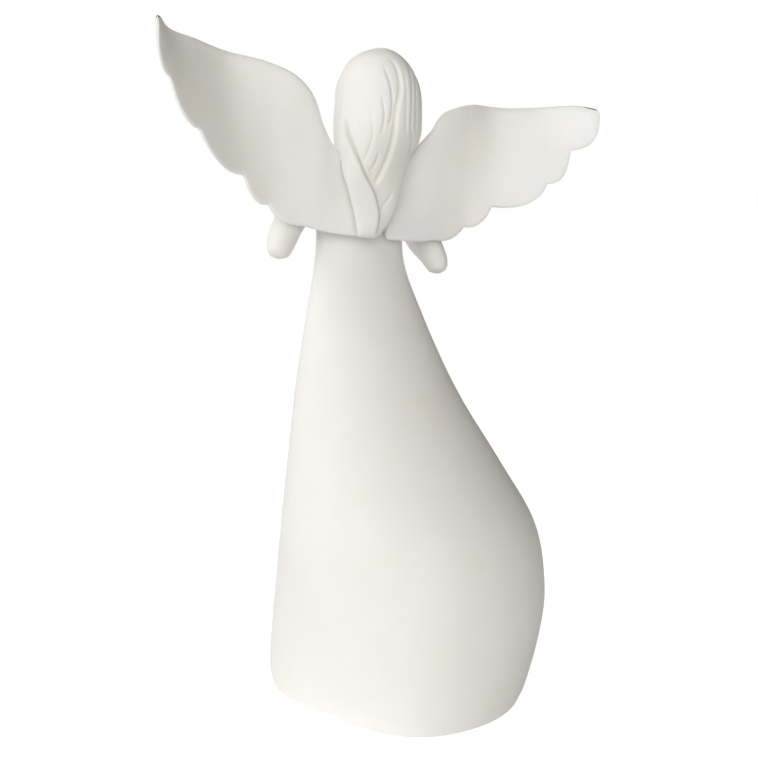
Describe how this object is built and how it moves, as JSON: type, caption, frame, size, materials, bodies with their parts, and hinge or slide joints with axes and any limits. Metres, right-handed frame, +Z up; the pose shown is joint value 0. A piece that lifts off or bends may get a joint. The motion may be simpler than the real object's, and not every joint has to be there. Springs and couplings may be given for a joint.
{
  "type": "angel figurine",
  "caption": "Free-standing resin angel figurine: hollow sweeping gown on a felt base, bowed head with long hair, joined hands, and scalloped wings set into slots in the back.",
  "frame": {"origin": "on the resting plane, straight under the neck", "axes": "+Z up, the figure faces -Y and its left hand is on +X"},
  "size_m": [0.1566, 0.0914, 0.2128],
  "materials": {
    "resin": "matt warm-white painted cast resin, very slightly satin",
    "resin_gilt": "matt warm-white cast resin, its outer edge brushed with antique gold paint",
    "felt": "short-pile grey felt",
    "steel": "plain drawn wire"
  },
  "bodies": {
    "root": {"gown_body": "resin", "base_plate": "resin", "felt_pad": "felt", "head": "resin", "hair": "resin", "left_wing": "resin_gilt", "right_wing": "resin_gilt", "left_arm": "resin", "right_arm": "resin", "neck_dowel": "steel", "wing_dowels": "steel"}
  },
  "joints": []
}
